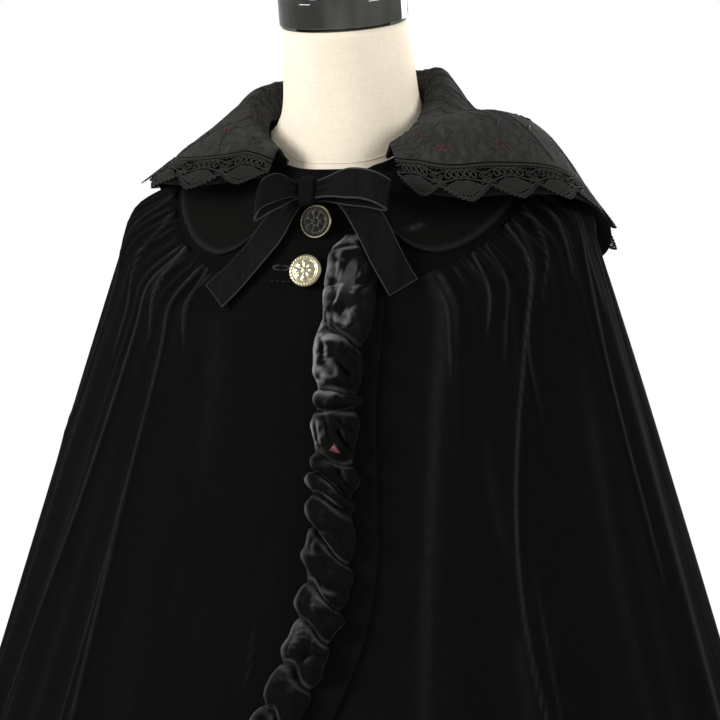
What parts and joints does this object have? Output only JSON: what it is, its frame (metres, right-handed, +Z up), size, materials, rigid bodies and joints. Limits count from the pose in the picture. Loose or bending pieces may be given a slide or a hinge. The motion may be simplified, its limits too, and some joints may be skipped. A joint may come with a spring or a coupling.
{
  "type": "cape on a dress form",
  "caption": "Black velvet cape with gathered body, lace-edged falling collar, ribbon bow, metal buttons and a shirred strip down the front, worn by a limbless dress form on a stand",
  "frame": {"origin": "floor centre under the round base of the stand", "axes": "+Z up, -Y the front of the cape, +X the wearer's left"},
  "size_m": [0.8121, 0.5746, 1.5158],
  "materials": {
    "black_velvet": "black silk-cotton velvet pile with a soft sheen",
    "embroidered_cloth": "matte black cloth with raised tone-on-tone embroidery",
    "black_lace": "matte charcoal guipure lace",
    "velvet_ribbon": "black velvet ribbon with a bluish sheen",
    "antique_gold": "antique pale gold, worn",
    "linen": "cream linen stretched over the form",
    "black_gloss": "black gloss",
    "stand_metal": "satin steel"
  },
  "bodies": {
    "root": {"front_right": "black_velvet", "front_left": "black_velvet", "back": "black_velvet", "yoke_right": "black_velvet", "yoke_left": "black_velvet", "yoke_back": "black_velvet", "collar_right": "black_velvet", "collar_left": "black_velvet", "fall_under": "black_velvet", "front_ruche": "black_velvet", "fall_upper": "embroidered_cloth", "lace_edging": "black_lace", "bow_loop_right": "velvet_ribbon", "bow_loop_left": "velvet_ribbon", "bow_knot": "velvet_ribbon", "bow_tail_right": "velvet_ribbon", "bow_tail_left": "velvet_ribbon", "button_upper": "antique_gold", "button_lower": "antique_gold", "form_torso": "linen", "form_cap": "black_gloss", "form_pole": "stand_metal", "form_base": "stand_metal"}
  },
  "joints": []
}
